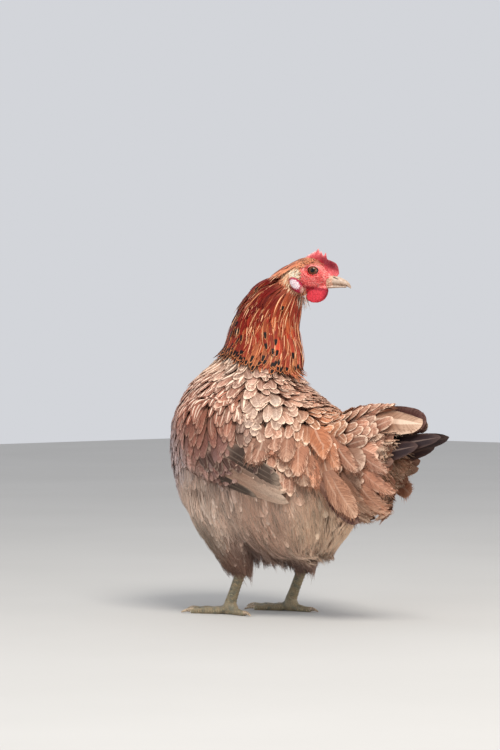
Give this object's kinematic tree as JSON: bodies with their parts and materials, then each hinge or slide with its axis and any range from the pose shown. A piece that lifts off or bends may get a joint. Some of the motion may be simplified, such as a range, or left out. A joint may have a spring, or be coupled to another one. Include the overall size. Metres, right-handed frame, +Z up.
{
  "type": "chicken (hen)",
  "caption": "Life-size standing hen looking back over her right shoulder, with buff plumage, golden hackle, single comb and short drooping tail.",
  "frame": {"origin": "on the floor, under the middle of the whole bird's box", "axes": "+Z up; the breast faces -Y and the tail +Y; +X is the hen's own left side"},
  "size_m": [0.1736, 0.3649, 0.3821],
  "materials": {
    "buff_plumage": "matt feathers, buff brown with cream shafts and edges",
    "pale_fluff": "soft loose feathers, pale buff and grey",
    "golden_hackle": "silky narrow feathers, red gold with dark tips",
    "red_flesh": "bare wrinkled skin, bright red",
    "ear_lobe": "bare soft skin, white with a red rim",
    "horn": "polished horn",
    "eye": "wet and clear over an orange-brown iris",
    "scaled_leg": "overlapping horny scales, olive brown"
  },
  "bodies": {
    "root": {"bill_lower": "horn", "bill_upper": "horn", "claw_hind_left": "horn", "claw_hind_right": "horn", "claw_inner_left": "horn", "claw_inner_right": "horn", "claw_middle_left": "horn", "claw_middle_right": "horn", "claw_outer_left": "horn", "claw_outer_right": "horn", "comb": "red_flesh", "ear_lobe_left": "ear_lobe", "ear_lobe_right": "ear_lobe", "eye_left": "eye", "eye_right": "eye", "foot_left": "scaled_leg", "foot_right": "scaled_leg", "head": "golden_hackle", "neck": "golden_hackle", "shank_left": "scaled_leg", "shank_right": "scaled_leg", "tail": "buff_plumage", "thigh_left": "pale_fluff", "thigh_right": "pale_fluff", "trunk": "buff_plumage", "wattle_left": "red_flesh", "wattle_right": "red_flesh", "wing_left": "buff_plumage", "wing_right": "buff_plumage"}
  },
  "joints": []
}
